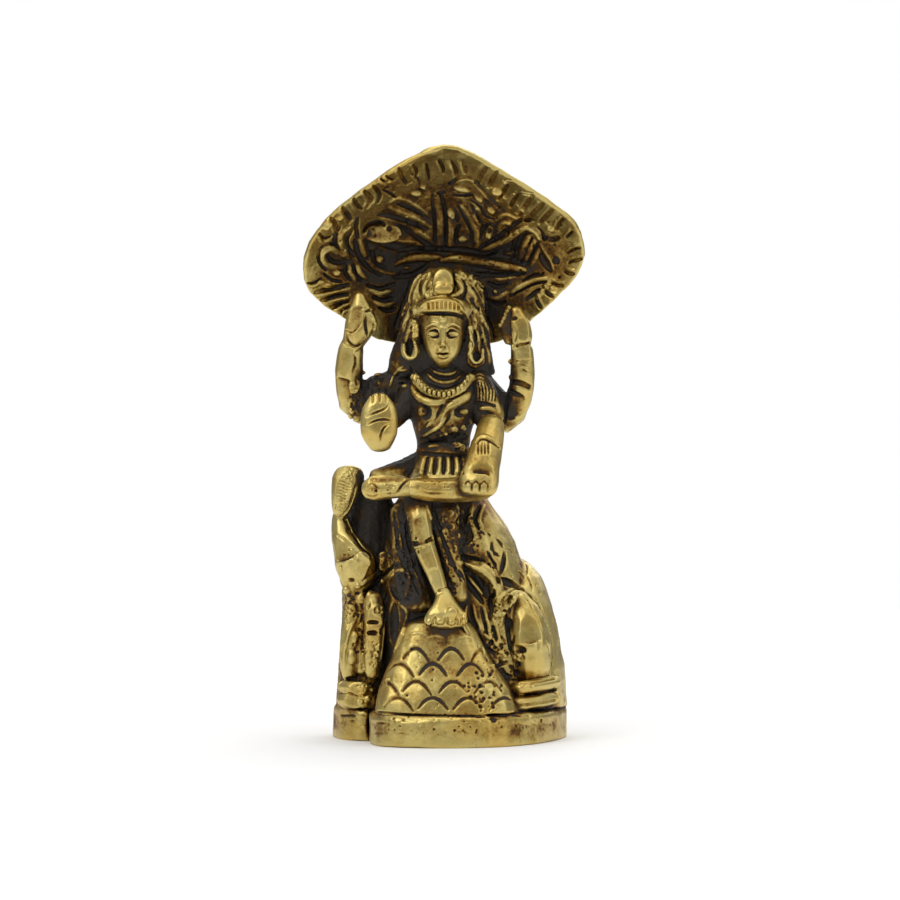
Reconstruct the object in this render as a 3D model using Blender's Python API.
"""Small cast-brass statue: a four-armed figure seated on a rock under a tree canopy.

The frame: +Z is up, the figure faces -Y, and the origin is the centre of the flat underside.
Lengths below are in millimetres and are turned into metres where a mesh is made.
Every object is one element of the casting as the modeller shapes it, closed and on its own, and
it is cut back by CLEARANCE wherever an element that was set in place before it lies.
"""

import math

import bmesh
import bpy
from mathutils import Vector
from mathutils.bvhtree import BVHTree

MM = 0.001

# Driving dimensions, in millimetres.
PLINTH_HEIGHT = 5.2
ROCK_FOOT = PLINTH_HEIGHT + 0.3
CLEARANCE = 0.3
AXIS_X = -1.2  # the figure sits a little to its own right of the base's centre
CANOPY_CENTRE = (-1.1, 81.0)  # x and z of the dish's middle
CANOPY_DEEPEST_Y = 7.0
CANOPY_RIM_THICKNESS = 2.2
CANOPY_MIDDLE_THICKNESS = 3.2

LIMB_SIDES = 10
TRIM_SIDES = 8
MASS_SIDES = 18
FRONT = Vector((0.0, -1.0, 0.0))
SIDEWAYS = Vector((1.0, 0.0, 0.0))
UP = Vector((0.0, 0.0, 1.0))

MATERIALS = {
    "brass_polished": ((0.62, 0.49, 0.20), 0.28),
    "brass_satin": ((0.50, 0.37, 0.14), 0.38),
    "brass_patinated": ((0.20, 0.13, 0.06), 0.50),
}


# ------------------------------------------------------------------ scene and materials


def clear_scene():
    for obj in list(bpy.data.objects):
        bpy.data.objects.remove(obj, do_unlink=True)


def make_materials():
    made = {}
    for name, (colour, roughness) in MATERIALS.items():
        material = bpy.data.materials.new(name)
        material.use_nodes = True
        shader = material.node_tree.nodes["Principled BSDF"]
        shader.inputs["Base Color"].default_value = (*colour, 1.0)
        shader.inputs["Metallic"].default_value = 1.0
        shader.inputs["Roughness"].default_value = roughness
        made[name] = material
    return made


def finish_object(name, bm, material, smooth_angle=40.0):
    """Turns a bmesh in millimetres into a named object in metres, with its faces pointing out."""
    bmesh.ops.recalc_face_normals(bm, faces=bm.faces)
    if bm.calc_volume(signed=True) < 0:
        bmesh.ops.reverse_faces(bm, faces=bm.faces)
    bmesh.ops.scale(bm, vec=(MM, MM, MM), verts=bm.verts)
    mesh = bpy.data.meshes.new(name)
    bm.to_mesh(mesh)
    bm.free()
    mesh.shade_smooth()
    mesh.set_sharp_from_angle(angle=math.radians(smooth_angle))
    mesh.materials.append(material)
    obj = bpy.data.objects.new(name, mesh)
    bpy.context.scene.collection.objects.link(obj)
    return obj


# ------------------------------------------------------------------ shape builders


def catmull_rom(stations, steps):
    """The stations, each a tuple of numbers, with steps - 1 more blended in after each but the last."""
    smooth = []
    last = len(stations) - 1
    for i in range(last):
        before, here, after, beyond = (
            stations[min(max(k, 0), last)] for k in (i - 1, i, i + 1, i + 2)
        )
        for step in range(steps):
            t = step / steps
            smooth.append(
                tuple(
                    0.5
                    * (
                        2 * b
                        + (c - a) * t
                        + (2 * a - 5 * b + 4 * c - d) * t * t
                        + (3 * b - a - 3 * c + d) * t**3
                    )
                    for a, b, c, d in zip(before, here, after, beyond)
                )
            )
    smooth.append(stations[last])
    return smooth


def superellipse(angle, power):
    """A point on the unit superellipse: power 2 is a circle, and a higher one is squarer."""
    c, s = math.cos(angle), math.sin(angle)
    return (
        math.copysign(abs(c) ** (2 / power), c),
        math.copysign(abs(s) ** (2 / power), s),
    )


def add_ring(bm, centre, across, deep, half_width, half_depth, sides, power=2.0):
    corners = [superellipse(2 * math.pi * k / sides, power) for k in range(sides)]
    return [
        bm.verts.new(centre + across * (half_width * u) + deep * (half_depth * v))
        for u, v in corners
    ]


def skin_rings(bm, rings):
    """Joins each ring to the next with a band of quads."""
    for lower, upper in zip(rings, rings[1:]):
        count = len(lower)
        for k in range(count):
            bm.faces.new((lower[k], lower[(k + 1) % count], upper[(k + 1) % count], upper[k]))


def close_ring(bm, ring, pole):
    tip = bm.verts.new(pole)
    count = len(ring)
    for k in range(count):
        bm.faces.new((ring[k], ring[(k + 1) % count], tip))


def limb(name, material, stations, sides=LIMB_SIDES, steps=2, roundness=1.0, facing=FRONT):
    """A round-ended tube through (x, y, z, half width, half thickness); thickness lies on facing."""
    path = catmull_rom(stations, steps)
    points = [Vector(p[:3]) for p in path]
    bm = bmesh.new()
    rings = []
    for i, station in enumerate(path):
        along = points[min(i + 1, len(points) - 1)] - points[max(i - 1, 0)]
        along.normalize()
        across = along.cross(facing).normalized()
        rings.append((points[i], along, across, across.cross(along), station[3], station[4]))

    def cap(end, direction):
        """Two shrinking rings beyond an end, nearest first, then the tip."""
        point, along, across, deep, wide, thick = end
        reach = roundness * min(wide, thick)
        found = []
        for angle in (math.radians(35), math.radians(65)):
            centre = point + along * (direction * reach * math.sin(angle))
            scale = math.cos(angle)
            found.append(add_ring(bm, centre, across, deep, wide * scale, thick * scale, sides))
        return found, point + along * (direction * reach)

    first, first_tip = cap(rings[0], -1)
    middle = [add_ring(bm, p, u, v, w, t, sides) for p, _, u, v, w, t in rings]
    last, last_tip = cap(rings[-1], 1)
    bands = first[::-1] + middle + last
    skin_rings(bm, bands)
    close_ring(bm, bands[0], first_tip)
    close_ring(bm, bands[-1], last_tip)
    return finish_object(name, bm, material)


def mass(name, material, levels, sides=MASS_SIDES, steps=2, power=2.0, flat_foot=False, dome=0.6):
    """An upright body of level rings: (z, centre x, centre y, half width, half depth)."""
    path = catmull_rom(levels, steps)
    across, deep = Vector((1.0, 0.0, 0.0)), Vector((0.0, 1.0, 0.0))
    bm = bmesh.new()
    bands = [
        add_ring(bm, Vector((cx, cy, z)), across, deep, rx, ry, sides, power)
        for z, cx, cy, rx, ry in path
    ]

    def crown(level, direction):
        z, cx, cy, rx, ry = level
        rise = dome * min(rx, ry)
        centre = Vector((cx, cy, z + direction * rise * 0.75))
        inner = add_ring(bm, centre, across, deep, rx * 0.6, ry * 0.6, sides, power)
        return inner, Vector((cx, cy, z + direction * rise))

    top, top_tip = crown(path[-1], 1)
    bands.append(top)
    if not flat_foot:
        foot, foot_tip = crown(path[0], -1)
        bands.insert(0, foot)
        close_ring(bm, foot, foot_tip)
    else:
        bm.faces.new(bands[0])
    skin_rings(bm, bands)
    close_ring(bm, top, top_tip)
    return finish_object(name, bm, material)


def slab(name, material, outline, low, high, bevel):
    """A flat plate with a smooth outline, its upper edge rounded."""
    count = len(outline)
    looped = [outline[(i - 1) % count] for i in range(count + 3)]
    rounded = catmull_rom(looped, 2)[2 : 2 + 2 * count]
    bm = bmesh.new()
    rows = (
        (low, 1.0),
        (high - bevel, 1.0),
        (high - bevel * 0.3, 1.0 - bevel * 0.02),
        (high, 1.0 - bevel * 0.06),
    )
    middle_x = sum(p[0] for p in rounded) / len(rounded)
    middle_y = sum(p[1] for p in rounded) / len(rounded)
    rings = [
        [
            bm.verts.new(
                (middle_x + (x - middle_x) * grow, middle_y + (y - middle_y) * grow, z)
            )
            for x, y in rounded
        ]
        for z, grow in rows
    ]
    skin_rings(bm, rings)
    bm.faces.new(rings[0])
    bm.faces.new(rings[-1])
    return finish_object(name, bm, material)


# ------------------------------------------------------------------ cutting one piece by another


def grown_copy(obj):
    """A hidden cutter: the object's mesh, moved out by the clearance all round."""
    bm = bmesh.new()
    bm.from_mesh(obj.data)
    bm.normal_update()
    moves = [vert.normal.copy() * (CLEARANCE * MM) for vert in bm.verts]
    for vert, move in zip(bm.verts, moves):
        vert.co += move
    mesh = bpy.data.meshes.new(obj.name + "_clearance")
    bm.to_mesh(mesh)
    bm.free()
    cutter = bpy.data.objects.new(obj.name + "_clearance", mesh)
    bpy.context.scene.collection.objects.link(cutter)
    cutter.hide_render = True
    cutter.display_type = "WIRE"
    return cutter


def surface_tree(obj):
    bm = bmesh.new()
    bm.from_mesh(obj.data)
    tree = BVHTree.FromBMesh(bm)
    bm.free()
    return tree


def cut_in_order(pieces):
    """Each piece is cut by every piece before it whose surface it crosses."""
    placed = []
    for piece in pieces:
        tree = surface_tree(piece)
        for earlier, cutter, cutter_tree in placed:
            if not tree.overlap(cutter_tree):
                continue
            boolean = piece.modifiers.new("clear_of_" + earlier.name, "BOOLEAN")
            boolean.operation = "DIFFERENCE"
            boolean.solver = "EXACT"
            boolean.object = cutter
        cutter = grown_copy(piece)
        placed.append((piece, cutter, surface_tree(cutter)))


# ------------------------------------------------------------------ the base and the rock


def front_plinth(material):
    outline = [
        (-13.5, -7.5), (-13.1, -13.0), (-11.0, -17.6), (-6.5, -20.0), (0.0, -20.5),
        (6.5, -19.2), (12.0, -15.2), (16.3, -8.8), (19.0, -1.5), (20.0, 6.0),
        (17.6, 12.6), (12.0, 16.6), (4.0, 18.2), (-4.0, 18.2), (-10.5, 16.6),
        (-13.2, 12.5), (-13.4, 6.0), (-13.5, 0.0),
    ]  # fmt: skip
    return slab("front_plinth", material, outline, 0.0, PLINTH_HEIGHT, 0.8)


def side_plinth(material):
    outline = [
        (-14.0, -6.2), (-17.3, -4.2), (-19.4, 0.2), (-20.0, 5.6), (-18.8, 10.4),
        (-15.4, 12.9), (-14.0, 11.5), (-13.9, 6.0), (-13.9, 0.0),
    ]  # fmt: skip
    return slab("side_plinth", material, outline, 0.0, PLINTH_HEIGHT, 0.8)


def scaled_mound(material):
    levels = [
        (ROCK_FOOT, -0.6, -12.4, 11.9, 6.9),
        (9.5, -0.9, -12.2, 10.9, 6.3),
        (14.0, -1.5, -11.4, 8.4, 5.3),
        (18.4, -1.9, -10.6, 6.6, 4.9),
        (20.2, -1.8, -10.4, 5.2, 4.3),
    ]
    return mass("scaled_mound", material, levels, power=3.2, flat_foot=True, dome=0.25)


def rock_seat(material):
    levels = [
        (ROCK_FOOT, 2.6, 3.2, 16.2, 13.4),
        (12.0, 2.4, 2.8, 15.4, 13.0),
        (20.0, 1.6, 2.4, 14.4, 12.2),
        (27.0, 0.6, 2.0, 12.6, 11.6),
        (33.5, -0.2, 1.8, 11.2, 10.6),
        (37.4, -0.9, 1.8, 9.6, 9.4),
        (40.8, -1.3, 1.8, 7.6, 7.8),
    ]
    return mass("rock_seat", material, levels, power=2.5, flat_foot=True, dome=0.35)


def side_outcrop(material):
    levels = [
        (ROCK_FOOT, 13.6, 4.2, 6.4, 10.2),
        (10.0, 13.5, 3.1, 6.3, 11.3),
        (15.0, 13.2, 2.8, 5.9, 11.0),
        (22.5, 12.5, 2.9, 4.9, 9.3),
        (27.5, 11.6, 3.5, 3.9, 6.7),
        (29.6, 11.2, 4.0, 2.4, 4.0),
    ]
    return mass("side_outcrop", material, levels, power=2.4, flat_foot=True, dome=0.4)


def seat_ledge(material):
    stations = [
        (-4.5, -0.6, 46.0, 3.0, 3.4),
        (-8.5, -2.6, 44.9, 2.3, 3.0),
        (-12.0, -4.4, 44.4, 1.6, 2.2),
    ]
    return limb("seat_ledge", material, stations)


def tree_trunk(material):
    levels = [
        (35.0, AXIS_X, 7.6, 6.6, 5.0),
        (42.0, AXIS_X, 6.6, 5.2, 4.6),
        (51.0, AXIS_X, 5.4, 4.3, 4.2),
        (59.0, AXIS_X, 5.6, 4.4, 4.2),
        (66.0, AXIS_X, 7.4, 5.2, 3.9),
        (72.0, AXIS_X, 9.4, 6.4, 3.4),
        (77.0, AXIS_X, 10.4, 6.8, 2.4),
    ]
    return mass("tree_trunk", material, levels, sides=18)


# ------------------------------------------------------------------ the canopy


def canopy_rim_points():
    """The rim, anticlockwise from the figure's left: a blunt point above, a shallow bowl below."""
    corners = [
        (22.7, -2.6, 81.6), (22.0, -4.3, 85.4), (19.8, -5.6, 88.2), (15.8, -7.4, 90.9),
        (11.8, -9.0, 93.4), (7.4, -10.4, 95.9), (3.4, -11.2, 98.2), (-1.0, -11.5, 99.4),
        (-6.6, -10.9, 97.3), (-11.0, -9.9, 94.6), (-17.5, -7.2, 90.3), (-21.0, -5.5, 87.2),
        (-23.7, -3.6, 83.6), (-24.8, -1.6, 79.4), (-23.9, 0.0, 75.9), (-21.2, 1.6, 73.2),
        (-17.6, 3.4, 71.0), (-12.6, 6.0, 68.0), (-6.4, 7.9, 67.0), (0.2, 8.5, 66.7),
        (6.0, 7.8, 67.0), (10.6, 6.2, 68.4), (14.6, 3.6, 71.6), (18.4, 0.8, 75.1),
        (21.3, -1.0, 78.1),
    ]  # fmt: skip
    looped = [corners[-1]] + corners + corners[:2]
    return [Vector(p) for p in catmull_rom(looped, 2)[2 : 2 + 2 * len(corners)]]


def canopy_point(rim, share):
    """A point of the hollow front face, from the middle (share 0) to the rim point (share 1)."""
    x, z = CANOPY_CENTRE
    flat = Vector((x, 0.0, z)).lerp(rim, share)
    flat.y = CANOPY_DEEPEST_Y + (rim.y - CANOPY_DEEPEST_Y) * share**2.2
    return flat


def canopy(material):
    """A leaning dish: its front face hollow, its back face the same moved back by the wall."""
    shares = (0.25, 0.5, 0.72, 0.88, 1.0)
    lean = Vector((0.0, 1.0, 0.55)).normalized()
    rim = canopy_rim_points()
    middle_thickness = CANOPY_MIDDLE_THICKNESS
    bm = bmesh.new()
    front_rings, back_rings = [], []
    for share in shares:
        wall = middle_thickness + (CANOPY_RIM_THICKNESS - middle_thickness) * share
        front_rings.append([bm.verts.new(canopy_point(p, share)) for p in rim])
        inset = share - 0.03 * (share == 1.0)
        back_rings.append([bm.verts.new(canopy_point(p, inset) + lean * wall) for p in rim])
    edge = [
        bm.verts.new(canopy_point(p, 1.012) + lean * (CANOPY_RIM_THICKNESS * 0.5)) for p in rim
    ]
    skin_rings(bm, front_rings + [edge] + back_rings[::-1])
    middle = canopy_point(rim[0], 0.0)
    close_ring(bm, front_rings[0], middle)
    close_ring(bm, back_rings[0], middle + lean * middle_thickness)
    return finish_object("canopy", bm, material)


# ------------------------------------------------------------------ the figure


def torso(material):
    levels = [
        (43.0, AXIS_X, -1.0, 5.2, 4.2),
        (46.5, AXIS_X, -1.6, 4.7, 3.6),
        (50.0, AXIS_X, -2.0, 4.4, 3.4),
        (54.0, AXIS_X, -2.2, 5.3, 3.7),
        (58.0, AXIS_X, -2.0, 6.4, 3.8),
        (60.6, AXIS_X, -1.2, 6.0, 3.2),
        (62.4, AXIS_X, -1.4, 3.0, 2.8),
    ]
    return mass("torso", material, levels, sides=20)


def head(material):
    levels = [
        (63.6, AXIS_X, -4.9, 1.3, 1.4),
        (64.8, AXIS_X, -4.3, 2.4, 2.7),
        (67.0, AXIS_X, -3.7, 3.3, 3.8),
        (70.0, AXIS_X, -3.3, 3.9, 4.4),
        (73.4, AXIS_X, -3.0, 3.8, 4.4),
        (76.4, AXIS_X, -2.8, 2.9, 3.5),
    ]
    return mass("head", material, levels, sides=18)


def hair(material):
    levels = [
        (62.0, -1.4, 0.9, 9.2, 3.4),
        (65.0, -1.5, 0.7, 8.7, 4.0),
        (68.6, -1.1, 0.5, 7.8, 4.5),
        (72.7, -0.9, 0.1, 6.8, 5.0),
        (76.6, -0.9, -0.6, 6.0, 5.2),
        (78.6, -0.9, -1.2, 4.6, 4.2),
    ]
    return mass("hair", material, levels, sides=20, power=2.2, dome=0.35)


def headband(material):
    stations = [
        (-5.3, -4.4, 72.5, 1.1, 0.9),
        (-4.1, -6.7, 73.2, 1.2, 1.0),
        (AXIS_X, -8.0, 73.6, 1.3, 1.0),
        (1.7, -6.7, 73.2, 1.2, 1.0),
        (2.9, -4.4, 72.5, 1.1, 0.9),
    ]
    return limb("headband", material, stations, sides=TRIM_SIDES)


def crown_boss(material):
    levels = [
        (75.4, AXIS_X, -6.0, 1.8, 1.4),
        (77.2, AXIS_X, -5.6, 1.95, 1.5),
        (79.2, AXIS_X, -4.4, 1.7, 1.4),
    ]
    return mass("crown_boss", material, levels, sides=12)


def earring(name, material, side):
    """A hanging loop that curls outward at its foot; side is -1 on the figure's right ear."""
    foot = 65.0 if side < 0 else 64.2
    stations = [
        (AXIS_X + side * 4.8, -4.5, foot + 5.6, 0.45, 0.5),
        (AXIS_X + side * 4.6, -4.2, foot + 2.4, 0.46, 0.5),
        (AXIS_X + side * 4.8, -3.8, foot + 0.2, 0.48, 0.5),
        (AXIS_X + side * 5.7, -3.4, foot - 0.6, 0.48, 0.5),
        (AXIS_X + side * 6.7, -3.1, foot + 0.4, 0.46, 0.5),
        (AXIS_X + side * 6.7, -3.0, foot + 1.8, 0.42, 0.5),
    ]
    return limb(name, material, stations, sides=TRIM_SIDES)


def necklace(material):
    stations = [
        (-6.0, -3.8, 61.4, 0.9, 0.7),
        (-4.2, -5.2, 59.2, 0.9, 0.7),
        (AXIS_X, -5.9, 58.1, 1.0, 0.7),
        (1.8, -5.2, 59.2, 0.9, 0.7),
        (3.6, -3.8, 61.4, 0.9, 0.7),
    ]
    return limb("necklace", material, stations, sides=TRIM_SIDES)


def skirt(material):
    levels = [
        (44.0, AXIS_X, -6.6, 4.8, 3.4),
        (46.6, AXIS_X, -5.0, 4.8, 3.2),
        (49.4, AXIS_X, -3.6, 4.5, 2.8),
    ]
    return mass("skirt", material, levels, sides=18, dome=0.4)


def rear_right_arm(material):
    stations = [
        (-8.4, 1.0, 60.0, 2.7, 2.3),
        (-12.0, 1.6, 58.8, 3.2, 2.5),
        (-15.6, 1.4, 56.2, 2.8, 2.5),
        (-17.0, 0.6, 59.0, 2.4, 2.4),
        (-17.2, -0.4, 62.5, 2.4, 2.2),
        (-16.8, -1.0, 66.2, 2.2, 2.0),
    ]
    return limb("rear_right_arm", material, stations)


def rear_right_hand(material):
    stations = [
        (-16.2, -1.5, 67.8, 2.1, 1.8),
        (-15.2, -1.9, 70.2, 2.7, 1.8),
        (-15.2, -2.1, 72.8, 2.1, 1.5),
        (-15.3, -2.1, 75.0, 1.1, 0.9),
    ]
    return limb("rear_right_hand", material, stations)


def rear_left_arm(material):
    stations = [
        (5.8, 1.0, 59.8, 2.2, 2.3),
        (7.8, 1.6, 57.0, 2.6, 2.5),
        (9.6, 1.5, 54.4, 2.6, 2.4),
        (11.6, 0.8, 57.4, 2.3, 2.2),
        (12.3, -0.2, 62.0, 2.1, 2.1),
        (12.2, -0.8, 66.4, 1.9, 1.9),
    ]
    return limb("rear_left_arm", material, stations)


def rear_left_hand(material):
    stations = [
        (12.2, -1.0, 68.0, 1.95, 1.85),
        (11.9, -1.3, 70.2, 1.8, 1.7),
        (11.3, -1.5, 72.3, 1.2, 1.2),
    ]
    return limb("rear_left_hand", material, stations)


def held_flame(material):
    stations = [
        (9.7, -1.4, 67.6, 0.8, 0.9),
        (9.2, -1.7, 70.0, 1.0, 0.9),
        (9.8, -1.8, 72.8, 0.6, 0.6),
    ]
    return limb("held_flame", material, stations, sides=TRIM_SIDES)


def front_right_arm(material):
    stations = [
        (-6.6, -1.6, 59.0, 1.9, 2.0),
        (-8.0, -2.2, 56.0, 1.8, 2.0),
        (-10.8, -3.4, 53.6, 2.0, 2.0),
        (-12.0, -6.2, 53.4, 1.8, 1.8),
        (-11.9, -8.6, 53.6, 1.6, 1.6),
    ]
    return limb("front_right_arm", material, stations, facing=SIDEWAYS)


def open_palm(material):
    stations = [
        (-11.7, -10.6, 49.6, 2.0, 1.0),
        (-11.8, -10.8, 51.6, 3.1, 1.4),
        (-11.8, -10.8, 54.2, 3.2, 1.5),
        (-11.8, -10.7, 56.4, 2.7, 1.4),
        (-11.9, -10.6, 57.7, 1.9, 1.0),
    ]
    return limb("open_palm", material, stations, sides=14)


def front_left_arm(material):
    stations = [
        (4.9, -1.4, 60.4, 2.1, 2.2),
        (6.0, -2.2, 57.4, 2.5, 2.4),
        (6.6, -3.4, 54.4, 2.6, 2.4),
    ]
    return limb("front_left_arm", material, stations)


def resting_hand(material):
    stations = [
        (7.0, -6.2, 53.2, 2.2, 2.1),
        (6.3, -9.2, 50.2, 2.7, 2.2),
        (5.5, -12.2, 47.0, 3.0, 2.1),
        (4.9, -13.9, 44.2, 3.3, 1.9),
        (4.7, -14.6, 42.4, 3.1, 1.6),
    ]
    return limb("resting_hand", material, stations, sides=14, roundness=0.8)


def crossed_leg(material):
    stations = [
        (2.6, -3.4, 45.4, 2.6, 2.6),
        (5.0, -6.2, 44.4, 2.6, 2.6),
        (5.4, -9.4, 43.0, 2.4, 2.4),
        (2.2, -11.8, 42.4, 2.2, 2.2),
        (-2.0, -12.8, 42.3, 2.1, 2.1),
        (-6.0, -13.2, 42.7, 1.9, 1.9),
    ]
    return limb("crossed_leg", material, stations, facing=UP)


def crossed_foot(material):
    stations = [
        (-7.9, -13.3, 42.8, 1.9, 1.8),
        (-10.4, -13.5, 42.9, 2.1, 1.7),
        (-12.6, -13.4, 42.6, 2.2, 1.5),
        (-13.6, -13.2, 42.4, 1.8, 1.2),
    ]
    return limb("crossed_foot", material, stations)


def hanging_leg(material):
    stations = [
        (-4.2, -4.4, 44.2, 2.4, 2.4),
        (-5.2, -8.2, 42.6, 2.4, 2.4),
        (-5.4, -10.6, 39.6, 2.2, 2.4),
        (-4.9, -12.0, 36.4, 2.1, 2.0),
        (-4.4, -12.6, 33.4, 2.2, 1.9),
        (-2.9, -13.2, 29.4, 1.9, 1.6),
        (-1.4, -13.7, 25.4, 1.3, 1.3),
    ]
    return limb("hanging_leg", material, stations, facing=SIDEWAYS)


def hanging_foot(material):
    stations = [
        (-1.0, -14.0, 24.7, 1.5, 1.4),
        (-0.8, -14.7, 23.1, 2.4, 1.8),
        (-0.7, -15.3, 21.6, 3.5, 1.6),
        (-0.7, -15.5, 20.6, 3.8, 1.2),
    ]
    return limb("hanging_foot", material, stations)


def leg_drape_right(material):
    levels = [
        (22.8, -5.7, -10.9, 2.7, 2.0),
        (26.0, -6.2, -10.4, 2.7, 2.0),
        (32.0, -7.4, -9.4, 2.4, 2.0),
        (39.0, -8.0, -7.8, 2.1, 2.2),
    ]
    return mass("leg_drape_right", material, levels, sides=12)


def leg_drape_left(material):
    levels = [
        (24.4, 1.5, -11.5, 1.6, 1.7),
        (29.0, 0.4, -10.8, 1.9, 1.8),
        (34.0, -0.8, -9.8, 2.3, 2.0),
        (39.5, -1.2, -8.6, 3.0, 2.2),
    ]
    return mass("leg_drape_left", material, levels, sides=12)


# ------------------------------------------------------------------ the animals beside the rock


def left_animal_head(material):
    stations = [
        (-18.5, -2.2, 38.8, 1.5, 2.0),
        (-17.9, -2.6, 41.2, 2.2, 2.5),
        (-17.2, -2.4, 43.8, 2.8, 2.4),
        (-17.1, -2.2, 45.2, 2.5, 2.0),
    ]
    return limb("left_animal_head", material, stations, roundness=0.6)


def left_animal_chest(material):
    stations = [
        (-18.6, -0.8, 37.2, 1.5, 2.4),
        (-18.1, -1.6, 34.2, 2.1, 2.9),
        (-16.3, -2.9, 30.6, 3.4, 3.3),
        (-15.8, -2.9, 28.0, 3.1, 2.9),
        (-15.7, -1.8, 25.4, 2.5, 2.6),
    ]
    return limb("left_animal_chest", material, stations)


def left_outcrop(material):
    levels = [
        (ROCK_FOOT, -14.6, 3.6, 4.9, 8.4),
        (12.0, -14.4, 3.6, 4.7, 7.8),
        (20.0, -14.0, 3.6, 4.6, 7.0),
        (28.0, -13.8, 3.6, 4.6, 5.8),
        (34.0, -13.8, 3.4, 4.3, 4.6),
        (39.0, -13.6, 2.4, 3.9, 3.4),
        (43.2, -13.4, 1.4, 3.3, 2.4),
    ]
    return mass("left_outcrop", material, levels, sides=16, flat_foot=True, dome=0.3)


def left_animal_inner_leg(material):
    stations = [
        (-12.9, -4.6, 23.4, 1.8, 1.8),
        (-12.7, -5.8, 19.4, 1.8, 1.7),
        (-12.9, -6.2, 15.0, 1.7, 1.5),
        (-13.1, -6.0, 11.6, 1.4, 1.3),
    ]
    return limb("left_animal_inner_leg", material, stations)


def left_animal_outer_leg(material):
    stations = [
        (-16.6, -3.0, 22.4, 1.3, 1.6),
        (-16.9, -4.0, 18.0, 1.6, 1.6),
        (-17.0, -4.2, 14.0, 1.7, 1.5),
        (-17.0, -3.8, 11.2, 1.4, 1.3),
    ]
    return limb("left_animal_outer_leg", material, stations)


def left_animal_paw(name, material, height, reach):
    """One of the two stacked toes that the forelegs stand on."""
    stations = [
        (-14.6, -6.6 - reach, height, 1.1, 1.2),
        (-16.4, -5.0 - reach, height, 1.3, 1.3),
        (-18.2, -2.4 - reach, height, 1.0, 1.1),
    ]
    return limb(name, material, stations, sides=TRIM_SIDES)


def right_animal_haunch(material):
    stations = [
        (11.6, -5.6, 23.0, 2.4, 2.6),
        (12.7, -5.8, 20.2, 3.4, 4.0),
        (13.2, -5.8, 16.2, 3.9, 4.8),
        (13.4, -5.6, 12.4, 3.6, 4.6),
    ]
    return limb("right_animal_haunch", material, stations, sides=14)


def right_animal_ear(material):
    stations = [
        (2.6, -8.6, 29.8, 0.9, 1.2),
        (5.4, -9.4, 29.0, 1.3, 1.4),
        (7.6, -9.6, 26.6, 1.4, 1.4),
        (8.0, -8.8, 23.6, 1.0, 1.2),
    ]
    return limb("right_animal_ear", material, stations, sides=TRIM_SIDES)


def right_animal_tail(material):
    stations = [
        (8.2, -8.6, 20.0, 0.7, 0.9),
        (9.0, -9.2, 23.0, 0.9, 0.9),
        (10.8, -9.0, 24.8, 0.9, 0.9),
    ]
    return limb("right_animal_tail", material, stations, sides=TRIM_SIDES)


def right_animal_paw(name, material, height, thick):
    """One of the two stacked folds at the foot of the right-hand animal."""
    stations = [
        (11.6, -12.2, height - 0.2, thick, 1.5),
        (14.4, -9.8, height, thick, 1.6),
        (17.4, -5.6, height + 0.3, thick, 1.4),
    ]
    return limb(name, material, stations, sides=TRIM_SIDES)


# ------------------------------------------------------------------ the whole


def build():
    """Makes every element, small trim first, so that each later and larger one is cut round it."""
    clear_scene()
    made = make_materials()
    polished = made["brass_polished"]
    satin = made["brass_satin"]
    dark = made["brass_patinated"]
    pieces = [
        headband(polished),
        crown_boss(polished),
        earring("earring_right", satin, -1),
        earring("earring_left", satin, 1),
        necklace(satin),
        held_flame(dark),
        open_palm(polished),
        resting_hand(polished),
        crossed_foot(polished),
        hanging_foot(polished),
        rear_right_hand(polished),
        rear_left_hand(polished),
        crossed_leg(polished),
        hanging_leg(polished),
        front_right_arm(dark),
        front_left_arm(satin),
        rear_right_arm(polished),
        rear_left_arm(polished),
        head(polished),
        skirt(satin),
        torso(satin),
        hair(dark),
        leg_drape_right(dark),
        leg_drape_left(dark),
        left_animal_paw("left_animal_upper_paw", satin, 9.0, 0.0),
        left_animal_paw("left_animal_lower_paw", satin, 6.7, 0.4),
        left_animal_inner_leg(satin),
        left_animal_outer_leg(satin),
        left_animal_head(satin),
        left_animal_chest(polished),
        left_outcrop(dark),
        right_animal_paw("right_animal_upper_paw", polished, 9.6, 1.2),
        right_animal_paw("right_animal_lower_paw", polished, 7.0, 1.2),
        right_animal_ear(dark),
        right_animal_tail(dark),
        right_animal_haunch(polished),
        scaled_mound(polished),
        seat_ledge(dark),
        canopy(satin),
        tree_trunk(dark),
        side_outcrop(polished),
        rock_seat(satin),
        side_plinth(satin),
        front_plinth(polished),
    ]
    cut_in_order(pieces)


build()
